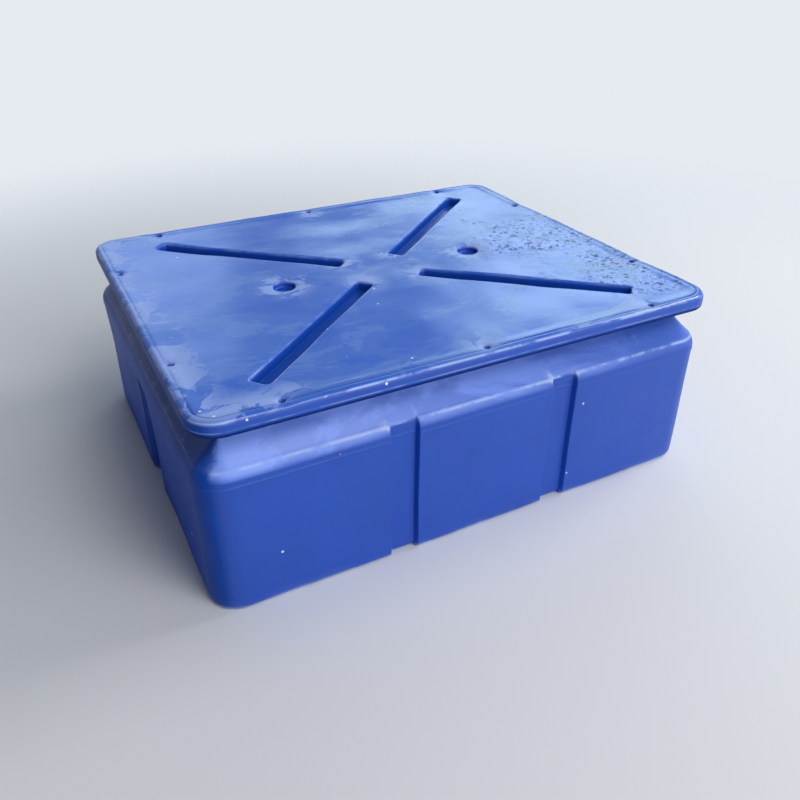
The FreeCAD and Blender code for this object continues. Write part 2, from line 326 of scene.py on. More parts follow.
def top_at(points):
    """Height of the top: its level, its rim, its waves and sag, less every hollow at that place."""
    height = top_height + depth_in(RIM_SECTION, -round_box(points, half_flange, FLANGE_CORNER))
    level = np.full(points.shape[:-1] + (1,), top_height)
    height = height + waves(np.concatenate([points, level], axis=-1))
    height -= SAG * np.prod(1 - np.minimum(np.abs(points / half_flange), 1) ** 2, axis=-1)
    height += depth_in(groove_section, from_nearest_groove(points))
    height += depth_in(dimple_section, from_nearest(points, dimple_middles) - DIMPLE_RADIUS)
    from_bolts = from_nearest(points, bolt_middles)
    height += depth_in(bolt_section, from_bolts - BOLT_RADIUS)
    return height - DIP_DEPTH * hump(from_bolts, 0, DIP_REACH)


print("height in the middle of the top:", top_at(np.zeros(2)).round(2), "mm")

# %% [markdown]
# ## The flange
#
# The flange is the thick lip that the dock's frame is bolted to. Its edge is a section carried round its
# outline: a soft upper arris, an upright side with a line of flash, and a smaller rounding below. Its
# first row takes its height from the top, so the two meet, which a bevelled slab over a separate top
# sheet would not.


# %% Patches of the skin
def lap_faces(rows, columns):
    """The faces of a grid of points whose rows are closed laps."""
    here = np.arange(rows * columns).reshape(rows, columns)
    ahead = np.roll(here, -1, axis=1)
    return np.stack([here[:-1], ahead[:-1], ahead[1:], here[1:]], axis=-1).reshape(-1, 4)


def swept(core_places, outward, corner, inset, height):
    """Points of a section round a path: core place plus outward times corner radius less inset."""
    plan = core_places + outward * (corner - inset)[..., None]
    height = np.broadcast_to(height, plan.shape[:-1])
    return np.concatenate([plan, height[..., None]], axis=-1)


print("faces of three laps of eight points:", len(lap_faces(3, 8)))

# %% The flange's edge
OUTLINE_ROWS = 16.0  # the longest step along and across the flange and the walls
FLANGE_THICK = 34.0
FLANGE_TOP_ROUND = 12.0
FLANGE_LOW_ROUND = 7.0
FLASH_DROP = 21.0
FLASH_RISE = 0.7
FLASH_REACH = 1.3
FLANGE_FOOT = top_height - FLANGE_THICK
FLANGE_FLASH = top_height - FLASH_DROP
flange_corners = [
    (FLANGE_TOP_ROUND + 2, top_height), (0, top_height),
    (0, FLANGE_FOOT), (FLANGE_LOW_ROUND + 2, FLANGE_FOOT),
]
flash_rows = FLANGE_FLASH + np.linspace(-2.8, 2.8, 7)
flange_line = filled(
    rounded_line(flange_corners, (FLANGE_TOP_ROUND, FLANGE_LOW_ROUND)), FORM_ROWS, flash_rows
)
core = half_flange - FLANGE_CORNER
flange_places, flange_outward = path_round(core, *(knots(reach, OUTLINE_ROWS) for reach in core))
inset = flange_line[:, :1] - FLASH_RISE * hump(flange_line[:, 1:], FLANGE_FLASH, FLASH_REACH)
inset = np.broadcast_to(inset, (len(flange_line), len(flange_places)))
flange_points = swept(flange_places, flange_outward, FLANGE_CORNER, inset, flange_line[:, 1:])
rise = top_at(flange_points[0, :, :2]) - top_height
flange_points[..., 2] += rise * ease(flange_line[:, 1:], FLANGE_FOOT, top_height)
print("flange edge:", flange_points.shape[:2], "rows and columns")

# %% [markdown]
# ## The walls
#
# One section runs from the neck, out over the sloped shoulder, round its soft edge and down the wall to
# the underside. The channels stiffen the walls. They could be cut out as boxes, but their edges are soft
# and they run out into the shoulder, so they are drawn into the section instead. In a channel the skin
# lies at least the channel's depth inside the wall, so the sloped shoulder runs on until it meets that
# floor, and a window that is 1 in the channel and 0 beside it blends the two. The parting line shows as
# a thin ridge, under which the lower half of the mould was a shade smaller.

# %% The section of the walls
NECK_INSET = 60.0
NECK_HEIGHT = 31.0
NECK_ROUND = 5.0
SHOULDER_DROP = 58.0
SHOULDER_ROUND = 40.0
FOOT_ROUND = 15.0
FOOT_INSET = 24.0
PARTING = 302.0
neck_foot = FLANGE_FOOT - NECK_HEIGHT
shoulder_line = neck_foot - SHOULDER_DROP
end_channel_top = shoulder_line - 55.0
wall_corners = [
    (NECK_INSET - 2 * NECK_ROUND, FLANGE_FOOT), (NECK_INSET, FLANGE_FOOT), (NECK_INSET, neck_foot),
    (0, shoulder_line), (0, 0), (FOOT_INSET, 0),
]
shoulder_turn = math.atan2(NECK_INSET, SHOULDER_DROP)
bead_height = shoulder_line + SHOULDER_ROUND * math.tan(shoulder_turn / 2) * math.cos(shoulder_turn)
close_rows = np.concatenate([
    PARTING + np.linspace(-4, 4, 11), PARTING + np.linspace(5.5, 13, 6),
    bead_height + np.linspace(-7.5, 7.5, 9), end_channel_top + np.linspace(-8, 8, 9),
])
wall_radii = (NECK_ROUND, NECK_ROUND, SHOULDER_ROUND, FOOT_ROUND)
wall_line = filled(rounded_line(wall_corners, wall_radii), OUTLINE_ROWS, close_rows)
wall_inset, wall_height = wall_line[:, :1], wall_line[:, 1:]
print("wall section:", len(wall_line), "rows")

# %% The channels
SIDE_CHANNEL = 195.0  # from the middle of a side to the middle of each of its two channels
SIDE_CHANNEL_HALF = 30.0
END_CHANNEL_HALF = 53.0
END_CHANNEL_CORNER = 14.0
CHANNEL_DEPTH = 12.0
CHANNEL_SOFT = 3.0
CHANNEL_MERGE = 5.0
core = half_block - BLOCK_CORNER
side_edges = [
    side * (SIDE_CHANNEL + half) for side in (-1, 1) for half in (-SIDE_CHANNEL_HALF, SIDE_CHANNEL_HALF)
]
end_edges = (-END_CHANNEL_HALF, END_CHANNEL_HALF)
wall_places, wall_outward = path_round(
    core, knots(core[0], OUTLINE_ROWS, side_edges), knots(core[1], OUTLINE_ROWS, end_edges)
)
on_side, on_end = np.abs(wall_outward[:, 1]) == 1, np.abs(wall_outward[:, 0]) == 1
side_distance = np.abs(np.abs(wall_places[:, 0]) - SIDE_CHANNEL) - SIDE_CHANNEL_HALF
side_window = (1 - ease(side_distance, -CHANNEL_SOFT, CHANNEL_SOFT)) * on_side
end_places = np.stack(np.broadcast_arrays(wall_places[:, 1], wall_height), axis=-1)
end_distance = round_box(end_places, (END_CHANNEL_HALF, end_channel_top), END_CHANNEL_CORNER)
end_window = (1 - ease(end_distance, -CHANNEL_SOFT, CHANNEL_SOFT)) * on_end
gap = np.where(wall_height > shoulder_line / 2, wall_inset, 0) - CHANNEL_DEPTH
drawn_in = (np.sqrt(gap**2 + CHANNEL_MERGE**2) - gap) / 2
inset = wall_inset + drawn_in * np.maximum(side_window, end_window)
print("deepest place of a channel:", drawn_in.max().round(1), "mm inside the wall")

# %% The parting line, the bead, the horns and the waves
PARTING_STEP = 0.7
PARTING_HOLLOW = 0.6
PARTING_RIDGE = 0.5
BEAD_RISE = 0.9
SLOPE_HOLLOW = 1.4
HORN_RISE = 1.7
inset = inset + PARTING_STEP * (1 - ease(wall_height, PARTING - 3.5, PARTING - 0.5))
inset = inset + PARTING_HOLLOW * hump(wall_height, PARTING + 6, 3.5)
inset = inset - PARTING_RIDGE * hump(wall_height, PARTING, 1.7)
inset = inset - BEAD_RISE * hump(wall_height, bead_height, 2.3)
inset = inset + SLOPE_HOLLOW * hump(wall_height, (bead_height + neck_foot) / 2, 14)
inset = inset - HORN_RISE * hump(side_distance, 7, 6) * on_side * hump(wall_height, bead_height - 2, 8)
wall_points = swept(wall_places, wall_outward, BLOCK_CORNER, inset, wall_height)
draw_in = waves(wall_points) * ease(-wall_height, -neck_foot, -shoulder_line)
wall_points[..., :2] += wall_outward * draw_in[..., None]
print("walls:", wall_points.shape[:2], "rows and columns")

# %% [markdown]
# ## The flat sheets
#
# The top, the band under the flange and the underside are sheets with outlines that no grid fits. Each is
# a triangulation of a plan: the outlines are kept as edges, and rows of free points follow every form, so
# the triangles lie along it. An even grid fine enough for the grooves' lips would need many times the
# faces. The heights are then read from the functions above. The triangles inside the bolt holes are left
# out, and a tube joins the top to the band in each.


# %% A triangulated sheet
def sheet(loops, free=(), holes=True):
    """Plan points and triangles of a sheet: its first loop is the outline, and any others bound holes."""
    plan = np.concatenate([*loops, *free])
    starts = np.cumsum([0] + [len(loop) for loop in loops])
    laps = [np.arange(a, b) for a, b in zip(starts, starts[1:])]
    edges = np.concatenate([np.stack([lap, np.roll(lap, -1)], axis=1) for lap in laps])
    made = delaunay_2d_cdt(plan.tolist(), edges.tolist(), [], 1, 1e-6)
    plan, triangles = np.array(made[0]), np.array(made[2])
    if holes:
        middles = plan[triangles].mean(axis=1)
        triangles = triangles[from_nearest(middles, bolt_middles) > BOLT_RADIUS]
    return plan, triangles


def ring(middle, radius, count=32):
    """A circle of points: the middle plus the radius times the cosine and sine of even angles."""
    angle = np.linspace(0, 2 * np.pi, count, endpoint=False)
    return middle + radius * np.stack([np.cos(angle), np.sin(angle)], axis=1)


print("points round a bolt hole:", len(ring(bolt_middles[0], BOLT_RADIUS)))

# %% Free points along the rim, the holes and the dimples
DIMPLE_RING = 44
rim_insets = np.array([15, 16, 17, 18, 19, 20.5, 22.5, 25, 28, 31, 35, 39, 43, 48])
hole_loops = [ring(middle, BOLT_RADIUS) for middle in bolt_middles]
rim_rows = flange_places + flange_outward * (FLANGE_CORNER - rim_insets[:, None, None])
rim_rows = rim_rows.reshape(-1, 2)
free = [rim_rows[from_nearest(rim_rows, bolt_middles) > BOLT_RADIUS + 6]]
for radius in BOLT_RADIUS + np.array([0.5, 1.4, 2.6, 4.2, 5.4]):
    free += [ring(middle, radius) for middle in bolt_middles]
for radius in DIMPLE_RADIUS + dimple_section[:-1, 0]:
    free += [ring(middle, radius, DIMPLE_RING) for middle in dimple_middles]
print("free points along round forms:", sum(len(points) for points in free))

# %% Free points along the grooves and over the field
FIELD_STEPS = (44, 37)  # over half the length and half the width, about 13.5 mm each
RIM_CLEAR = 54
GROOVE_CLEAR = 24
DIMPLE_CLEAR = 50
groove_core = groove_half - GROOVE_CORNER
groove_places, groove_outward = path_round(
    groove_core, knots(groove_core[0], 12.0), knots(groove_core[1], 9.0), 8
)
groove_rows = groove_section[groove_section[:, 0] > -GROOVE_CORNER, 0]
groove_plan = groove_places + groove_outward * (GROOVE_CORNER + groove_rows[:, None, None])
for way in groove_ways:
    across_way = np.array([-way[1], way[0]])
    along = groove_plan[..., :1] + groove_middle
    free.append((along * way + groove_plan[..., 1:] * across_way).reshape(-1, 2))
field = np.meshgrid(*(spaced(-1, 1, 1 / steps) * half for steps, half in zip(FIELD_STEPS, half_flange)))
field = np.stack(field, axis=-1).reshape(-1, 2)
clear = round_box(field, half_flange, FLANGE_CORNER) < -RIM_CLEAR
clear &= from_nearest_groove(field) > GROOVE_CLEAR
clear &= from_nearest(field, dimple_middles) > DIMPLE_RADIUS + DIMPLE_CLEAR
free.append(field[clear])
print("free points in all:", sum(len(points) for points in free))

# %% The three sheets and the hole tubes
top_plan, top_triangles = sheet([flange_points[0, :, :2], *hole_loops], free)
band_plan, band_triangles = sheet([flange_points[-1, :, :2], *hole_loops, wall_points[0, :, :2]])
band_middles = band_plan[band_triangles].mean(axis=1)
outside_neck = round_box(band_middles, half_block - wall_inset[0], BLOCK_CORNER - wall_inset[0, 0]) > 0
band_triangles = band_triangles[outside_neck]
base_plan, base_triangles = sheet([wall_points[-1, :, :2]], holes=False)
TUBE_ROWS = np.array([0.0, 0.5, 1.0])[:, None]
print("top:", len(top_triangles), "band:", len(band_triangles), "underside:", len(base_triangles))


def hole_tube(loop):
    """A tube from the top's height at each point of a hole's loop down to the band."""
    heights = top_at(loop) + (FLANGE_FOOT - top_at(loop)) * TUBE_ROWS
    return np.stack(np.broadcast_arrays(loop[:, 0], loop[:, 1], heights), axis=-1)


# %% [markdown]
# ## One closed skin
#
# The real float is one sealed skin, so its mesh is one too, and not a row of touching parts. The patches
# share their edge points, so merging the doubles closes it. The normals are recalculated after that, and
# a count of the edges that don't have two faces says whether the skin is closed.

# %% Join the patches
JOIN = 0.02 * MM
skin_patches = [
    (np.column_stack([top_plan, top_at(top_plan)]), top_triangles),
    (np.column_stack([band_plan, np.full(len(band_plan), FLANGE_FOOT)]), band_triangles),
    (np.column_stack([base_plan, np.zeros(len(base_plan))]), base_triangles),
    (flange_points.reshape(-1, 3), lap_faces(*flange_points.shape[:2])),
    (wall_points.reshape(-1, 3), lap_faces(*wall_points.shape[:2])),
]
skin_patches += [
    (hole_tube(loop).reshape(-1, 3), lap_faces(len(TUBE_ROWS), len(loop))) for loop in hole_loops
]
offsets = np.cumsum([0] + [len(points) for points, rows in skin_patches])
faces = [
    face for offset, (points, rows) in zip(offsets, skin_patches) for face in (rows + offset).tolist()
]
points = np.concatenate([points for points, rows in skin_patches]) * MM
mesh = bpy.data.meshes.new("float_skin")
mesh.from_pydata(points.tolist(), [], faces)
work = bmesh.new()
work.from_mesh(mesh)
bmesh.ops.remove_doubles(work, verts=work.verts, dist=JOIN)
bmesh.ops.recalc_face_normals(work, faces=work.faces)
open_edges = sum(len(edge.link_faces) != 2 for edge in work.edges)
work.to_mesh(mesh)
work.free()
mesh.shade_smooth()
skin = bpy.data.objects.new("float_skin", mesh)
bpy.context.scene.collection.objects.link(skin)
print("float_skin:", len(mesh.polygons), "faces, open edges:", open_edges)

# %% Its place in the frame
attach(skin, "root")
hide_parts(NODE)
print("float_skin rides on root and stands for", NODE)

# %% [markdown]
# ## Where the skin has worn, and where light and shade are painted
#
# The float has stood and been dragged outdoors. Its foot is rubbed, the places round its holes and
# dimples are scuffed, and its open top is bleached and painted lighter. Painted highlights lie along its
# arris, its flash, the shoulder's bead, the grooves' lips and the horns of the channels, and close beside
# each bolt hole, and painted shade lies in the sheltered places. Such marks could be painted by hand, or
# found by the renderer from sharp curvature, but an export loses what only the renderer knows. Here they
# are worked out from the same distances as the shape, and kept in the mesh as four values at each vertex,
# which the material reads.

# %% Where each vertex lies
places = np.empty(len(mesh.vertices) * 3)
mesh.vertices.foreach_get("co", places)
places = places.reshape(-1, 3) / MM
plan, heights = places[:, :2], places[:, 2]
rim_inset = -round_box(plan, half_flange, FLANGE_CORNER)
into_groove = from_nearest_groove(plan)
print("vertices:", len(places), "of them inside a groove's outline:", int((into_groove < 0).sum()))


def bells(rows):
    """A sum of bell curves. Each row is a strength, a distance, a reach in mm and where it holds."""
    return sum(strength * hump(distance, 0, reach) * holds for strength, distance, reach, holds in rows)


# %% Rubbed foot, and painted highlights along the edges
ARRIS_IN = 3.5  # the painted highlight on the arris lies this far in from the flange's sharp corner, and this far down
from_arris = np.hypot(rim_inset - ARRIS_IN, heights - top_height + ARRIS_IN)
beside_ends = 1 - 0.85 * ease(np.abs(places[:, 0]), half_block[0] - 45, half_block[0] - 15)
from_channels = np.abs(np.abs(places[:, 0]) - SIDE_CHANNEL) - SIDE_CHANNEL_HALF
# Pale paint on the arris, the grooves' lips, the bead, the flash and the horns is painted highlight; on the
# foot it is rubbing.
wear_and_highlights = bells((
    (1.2, from_arris, 2.2, 1.0),  # a painted highlight on the flange's upper arris
    (1.0, into_groove, 3.0, hump(heights, top_height, 5)),  # a painted highlight on the lips of the grooves
    (1.3, heights - bead_height + 2, 2.2, (rim_inset < 30) * beside_ends),  # a painted highlight on the bead of the shoulder
    (0.5, heights - FLANGE_FLASH, 1.2, rim_inset < 6),  # a painted highlight on the flash of the flange
    (0.8, heights - 3, 7.0, rim_inset < 12),  # the foot
    (1.8, from_channels - 5, 6.0, hump(heights, bead_height + 1, 7) * (rim_inset < 40)),  # painted highlights on the horns
))
print("rubbed vertices:", int((wear_and_highlights > 0.3).sum()))

# %% Places that scuff, a painted highlight by each bolt hole, and the open top
on_sheet = ease(heights, top_height - 9, top_height - 4)
groove_starts = GROOVE_START * np.array(groove_ways)
scuffs_and_highlights = on_sheet * np.max([
    hump(from_nearest(plan, 0.955 * bolt_middles), 0, 34),  # inwards of each bolt hole
    hump(from_nearest(plan, 0.965 * bolt_middles), 0, 14),  # a painted highlight, closer to it
    hump(from_nearest(plan, dimple_middles), 42, 24),  # a ring round each dimple
    hump(from_nearest(plan, groove_starts), 10, 34),  # the inner ends of the grooves
    hump(rim_inset, 34, 42) * (plan[:, 0] < -430),  # a band along the left end
], axis=0)
print("scuffed vertices:", int((scuffs_and_highlights > 0.3).sum()))

# %% Places where shade is painted
# Painted shade on the flange's lower lip and just under it.
under_lip = (1 - ease(heights, FLANGE_FOOT + 6, FLANGE_FOOT + 8.5)) * (heights > FLANGE_FOOT - 1)
near_front = 0.55 - 0.35 * ease(plan[:, 1], -440, -380)
down_groove = (heights < top_height - 8) * (heights > FLANGE_FOOT + 1)
sheltered = under_lip + bells((
    (0.22, heights - FLANGE_FLASH + 3.5, 1.8, rim_inset < 6),  # painted shade just under the flash
    (1.0, rim_inset - 17.5, 1.8, near_front * (heights > top_height - 8)),  # painted shade in the line inside the rim, darker at the front
    (0.5, into_groove + groove_lean, 2.8, down_groove),  # painted shade at the foot of each groove's wall
))
print("sheltered vertices:", int((sheltered > 0.3).sum()))

# %% Keep the wear in the mesh
for name, values in (
    ("edge_wear_and_highlights", wear_and_highlights), ("scuffs_and_highlights", scuffs_and_highlights), ("open_top", on_sheet), ("sheltered", sheltered),
):
    layer = mesh.attributes.new(name, "FLOAT", "POINT")
    layer.data.foreach_set("value", np.clip(values, 0, 1).astype(np.float32))
print("kept in the mesh:", [layer.name for layer in mesh.attributes if layer.data_type == "FLOAT"])

# %% [markdown]
# ## The finish
#
# The float is linear low density polyethylene. Blue powder is baked on to the wall of a turning mould, so
# the colour goes right through, and the skin has a waxy gloss over a faint orange peel. On the top lies a
# dried film, with dark specks where a puddle stood at the right end. The top's lighter blue is partly sun
# bleaching and partly painted light, and the film, paler to the right, is partly a painted sheen. The
# sloped shoulder of the long sides carries a painted sheen, laid on as a pale chalk, and the ends are
# rubbed matt.
#
# A photo laid over the mesh would look right from one side only. Noise at the sizes of the real marks
# does from every side, and it breaks up the wear, the painted highlights and the painted shade that the
# mesh keeps. The colour is laid on in layers, from the plastic outwards, and the gloss and the relief
# follow the same layers.

# %% Colour and node helpers
def hex_colour(text):
    """A linear colour from an sRGB hex value, by the sRGB curve."""
    channels = np.array([int(text[place:place + 2], 16) for place in (1, 3, 5)]) / 255
    linear = np.where(channels <= 0.04045, channels / 12.92, ((channels + 0.055) / 1.055) ** 2.4)
    return (*linear.tolist(), 1.0)


def add(tree, kind, inputs=(), **settings):
    """Adds a node with its properties, gives each input a value or a link, and returns its outputs."""
    node = tree.nodes.new(kind)
    for name, value in settings.items():
        setattr(node, name, value)
    for name, value in dict(inputs).items():
        if isinstance(value, bpy.types.NodeSocket):
            tree.links.new(value, node.inputs[name])
        else:
            node.inputs[name].default_value = value
    return node.outputs


def new_material(name):
    """An empty material, its node tree and its output node."""
    material = bpy.data.materials.new(name)
    material.use_nodes = True
    material.node_tree.nodes.clear()
    return material, material.node_tree, material.node_tree.nodes.new("ShaderNodeOutputMaterial")


print("half grey in linear light:", round(hex_colour("#808080")[0], 3))

# %% Rotomoulded blue polyethylene: where its skin is and which way it faces
# Level faces hold the film and its painted sheen, sloped ones the chalk and its painted sheen, and upright
# ones are a little duller than the top. The film is thickest to the right.
plastic, tree, output = new_material("rotomoulded_blue_polyethylene")
coordinates = add(tree, "ShaderNodeTexCoord")
place = coordinates["Object"]
rightward, _, upward = add(tree, "ShaderNodeSeparateXYZ", {0: place})
facing_right, _, facing_up = add(tree, "ShaderNodeSeparateXYZ", {0: coordinates["Normal"]})
flat, sloped, upright = (
    add(tree, "ShaderNodeMapRange", {"Value": facing_up, "From Min": start, "From Max": stop})[0]
    for start, stop in ((0.78, 0.92), (0.22, 0.55), (0.78, 0.5))
)
worn_and_highlit, scuffed_and_highlit, open_top, sheltered_share = (
    add(tree, "ShaderNodeAttribute", attribute_name=name)["Fac"]
    for name in ("edge_wear_and_highlights", "scuffs_and_highlights", "open_top", "sheltered")
)
on_top = add(tree, "ShaderNodeMath", {0: flat, 1: open_top}, operation="MULTIPLY")[0]
to_right = add(tree, "ShaderNodeMapRange", {
    "Value": rightward, "From Min": -0.05, "From Max": 0.3, "To Min": 0.3, "To Max": 1.0,
})[0]
end_share = add(tree, "ShaderNodeMath", {0: facing_right}, operation="ABSOLUTE")[0]
print("nodes that say where:", len(tree.nodes))

# %% Its patterns, each at the size of the real mark
# The sizes are in millimetres. Orange peel is 3 to 5 mm from hill to hill, and dirt dries in lines a
# millimetre wide. A pixel of the render is 2.6 mm, so both are drawn about three times as coarse.
smeared = add(tree, "ShaderNodeMapping", {
    "Vector": place, "Rotation": (0.0, 0.0, math.radians(28)), "Scale": (0.55, 1.25, 1.0),
})[0]
patterns = []
for vector, size, detail, rough, distortion in (
    (place, 160, 3.0, 0.5, 0.0),  # slow change of tone, from how the powder lay
    (place, 75, 5.0, 0.6, 0.7),  # blotches of wear, which also break up the painted highlights
    (smeared, 120, 6.0, 0.62, 0.5),  # the dried film and the patches of painted sheen, drawn out the way that the water ran
    (place, 170, 4.0, 0.5, 0.0),  # where the specks gather
    (place, 30, 2.0, 0.5, 1.5),  # curls of dirt between them
    (place, 14, 2.0, 0.5, 0.0),  # orange peel
    (place, 45, 1.0, 0.5, 0.0),  # ripples of the skin, which bend a reflection
):
    patterns.append(add(tree, "ShaderNodeTexNoise", {
        "Vector": vector, "Scale": 1 / (size * MM), "Detail": detail, "Roughness": rough,
        "Distortion": distortion,
    })["Fac"])
tone, blotch, film_pattern, gathering, curls, peel, ripple = patterns
print("noise patterns:", len(patterns))

# %% Its top: sun bleaching and painted light, and a dried film with a painted sheen
# The film has two steps, thin and thick, with clear edges where water stopped. It makes the top pale and
# milky, most of all to the right, where it is partly a painted sheen. The top's lighter blue is sun
# bleaching and painted light from above.
BLEACHED_AND_LIT_SHARE = 0.65
film_and_sheen = 0.0
for start, stop, most in ((0.46, 0.49, 0.17), (0.56, 0.59, 0.32)):
    step = add(tree, "ShaderNodeMapRange", {
        "Value": film_pattern, "From Min": start, "From Max": stop, "To Max": most,
    })[0]
    film_and_sheen = add(tree, "ShaderNodeMath", {0: step, 1: film_and_sheen}, operation="ADD")[0]
for share in (on_top, to_right):
    film_and_sheen = add(tree, "ShaderNodeMath", {0: film_and_sheen, 1: share}, operation="MULTIPLY")[0]
bleached_and_lit = add(tree, "ShaderNodeMath", {0: on_top, 1: BLEACHED_AND_LIT_SHARE}, operation="MULTIPLY")[0]
violet = add(tree, "ShaderNodeMapRange", {
    "Value": blotch, "From Min": 0.5, "From Max": 0.72, "To Max": 0.45,
})[0]
print("nodes with the film:", len(tree.nodes))

# %% Its painted sheen on the shoulder, laid on as chalk
# Weathered polyethylene chalks. A pale lilac painted sheen, laid on as that chalk, lies on the slope of the
# long sides, strongest to the left. It stops in a ragged line before each end, and nothing of it lies in
# the shelter of the neck.
ragged = add(tree, "ShaderNodeMath", {0: blotch, 1: -1.2, 2: end_share}, operation="MULTIPLY_ADD")[0]
sheen_and_chalk = add(tree, "ShaderNodeMath", {0: sloped, 1: flat}, operation="SUBTRACT")[0]
for value, start, stop, low, high in (
    (upward, (neck_foot + 8) * MM, neck_foot * MM, 0.0, 1.0),  # below the flange
    (ragged, -0.02, -0.36, 0.0, 1.0),  # away from the ends
    (rightward, -0.25, 0.5, 0.88, 0.2),  # less to the right
    (film_pattern, 0.45, 0.54, 0.78, 1.25),  # in patches
):
    share = add(tree, "ShaderNodeMapRange", {
        "Value": value, "From Min": start, "From Max": stop, "To Min": low, "To Max": high,
    })[0]
    sheen_and_chalk = add(tree, "ShaderNodeMath", {0: sheen_and_chalk, 1: share}, operation="MULTIPLY", use_clamp=True)[0]
print("nodes with the bloom:", len(tree.nodes))

# %% Its rubbed places, scratches, scuff marks and painted highlights
# Rubbing leaves the plastic paler, not another colour. The same pale colour is painted as highlights on
# the arris, the flash, the bead, the grooves' lips, the horns and beside each bolt hole. A real scratch is
# under a millimetre wide, too fine to show, so each is drawn 3.5 mm wide and faint.
SCRATCH_WIDTH = 3.5
marks = []
for value, start, stop, low, high in (
    (worn_and_highlit, 0.46, 0.57, 0.15, 0.9), (scuffed_and_highlit, 0.47, 0.52, 0.03, 0.56),
):
    share = add(tree, "ShaderNodeMapRange", {
        "Value": blotch, "From Min": start, "From Max": stop, "To Min": low, "To Max": high,
    })[0]
    marks.append(add(tree, "ShaderNodeMath", {0: value, 1: share}, operation="MULTIPLY")[0])
scuffed_and_highlit = marks[1]
for angle, length in ((-61.0, 160.0), (72.0, 200.0)):
    along = add(tree, "ShaderNodeMapping", {
        "Vector": place, "Rotation": (0.0, 0.0, math.radians(angle)),
        "Scale": tuple(1 / (size * MM) for size in (length, SCRATCH_WIDTH, SCRATCH_WIDTH)),
    })[0]
    line = add(tree, "ShaderNodeTexNoise", {"Vector": along, "Scale": 1.0, "Detail": 1.0})["Fac"]
    line = add(tree, "ShaderNodeMapRange", {
        "Value": line, "From Min": 0.76, "From Max": 0.8, "To Max": 0.5,
    })[0]
    marks.append(add(tree, "ShaderNodeMath", {0: line, 1: sloped}, operation="MULTIPLY")[0])
pale = 0.0
for mark in marks:
    pale = add(tree, "ShaderNodeMath", {0: mark, 1: pale}, operation="MAXIMUM")[0]
print("kinds of pale mark:", len(marks))

# %% Its painted shade, specks and flecks
# Dark specks 5 to 10 mm across and thin curls gather where a puddle dried, over the right end of the
# top. A few pale flecks of 5 mm lie anywhere.
PUDDLE_PLACE = (0.55, -0.1, 0.44)  # in metres
SPECK_GAP = 22.0
FLECK_GAP = 80.0
# Painted shade in the sheltered places: the flange's lower lip, under the flash, the line inside the rim
# and the foot of each groove's wall.
painted_shade = add(tree, "ShaderNodeMath", {0: sheltered_share, 1: 0.85}, operation="MULTIPLY")[0]
from_puddle = add(tree, "ShaderNodeVectorMath", {0: place, 1: PUDDLE_PLACE}, operation="DISTANCE")
puddle = add(tree, "ShaderNodeMapRange", {
    "Value": from_puddle["Value"],
    "From Min": 0.42, "From Max": 0.12, "To Min": 0.6, "To Max": 1.2,
})[0]
for share in (puddle, on_top):
    gathering = add(tree, "ShaderNodeMath", {0: gathering, 1: share}, operation="MULTIPLY")[0]
gathering = add(tree, "ShaderNodeMapRange", {"Value": gathering, "From Min": 0.42, "From Max": 0.56})[0]
cells = [
    add(tree, "ShaderNodeTexVoronoi", {"Vector": place, "Scale": 1 / (gap * MM)})["Distance"]
    for gap in (SPECK_GAP, FLECK_GAP)
]
off_middle = add(tree, "ShaderNodeMath", {0: curls, 1: 0.5}, operation="SUBTRACT")[0]
off_middle = add(tree, "ShaderNodeMath", {0: off_middle}, operation="ABSOLUTE")[0]
speck, curl, fleck = (
    add(tree, "ShaderNodeMapRange", {
        "Value": value, "From Min": start, "From Max": stop, "To Max": most,
    })[0]
    for value, start, stop, most in (
        (cells[0], 0.27, 0.19, 0.95), (off_middle, 0.022, 0.008, 0.62), (cells[1], 0.04, 0.028, 1.0),
    )
)
soil = add(tree, "ShaderNodeMath", {0: speck, 1: curl}, operation="MAXIMUM")[0]
soil = add(tree, "ShaderNodeMath", {0: soil, 1: gathering}, operation="MULTIPLY")[0]
print("nodes with the dirt:", len(tree.nodes))

# %% Its colour, laid on in layers
colour = hex_colour("#1549ac")
for share, tint in (
    (tone, "#1a54c2"),  # the pigment's other tone
    (violet, "#2647ac"),  # blotches that lean to violet
    (bleached_and_lit, "#1d63d4"),  # the top, bleached by the sun and painted lighter as if lit from above
    (film_and_sheen, "#a2c9e6"),  # dried film, and a painted sheen that grows to the right
    (sheen_and_chalk, "#86a6ff"),  # painted sheen on the shoulder, laid on as pale chalk
    (pale, "#b0c6f8"),  # rubbed plastic, and painted highlights on edges, horns and beside the holes
    (painted_shade, "#071a4c"),  # painted shade under the lip and flash, in the rim line and at the grooves' feet
    (soil, "#1a2a5c"),  # specks and curls
    (fleck, "#e4e9f2"),  # splashes
):
    colour = add(tree, "ShaderNodeMix", {
        "Factor": share, "A": colour, "B": hex_colour(tint),
    }, data_type="RGBA")["Result"]
print("nodes with the colour:", len(tree.nodes))

# %% Its gloss
# Clean skin is waxy and half glossy. Film, specks of dirt, scuff marks and the chalky sheen dull it, the
# ends are rubbed so matt that they mirror almost nothing, and the painted shade and the deep grooves lose
# their shine too. Polyethylene refracts light by 1.51.
POLYETHYLENE_IOR = 1.51
dull = 0.0
for share, weight in ((film_and_sheen, 1.0), (soil, 1.0), (scuffed_and_highlit, 1.0), (sheen_and_chalk, 0.5), (upright, 0.7)):
    dull = add(tree, "ShaderNodeMath", {0: share, 1: weight, 2: dull}, operation="MULTIPLY_ADD")[0]
roughness = add(tree, "ShaderNodeMapRange", {
    "Value": dull, "From Max": 0.8, "To Min": 0.17, "To Max": 0.45,
})[0]
shine_lost = add(tree, "ShaderNodeMapRange", {
    "Value": end_share, "From Min": 0.4, "From Max": 0.66, "To Max": 0.9,
})[0]
in_hollow = add(tree, "ShaderNodeMath", {0: flat, 1: on_top}, operation="SUBTRACT")[0]
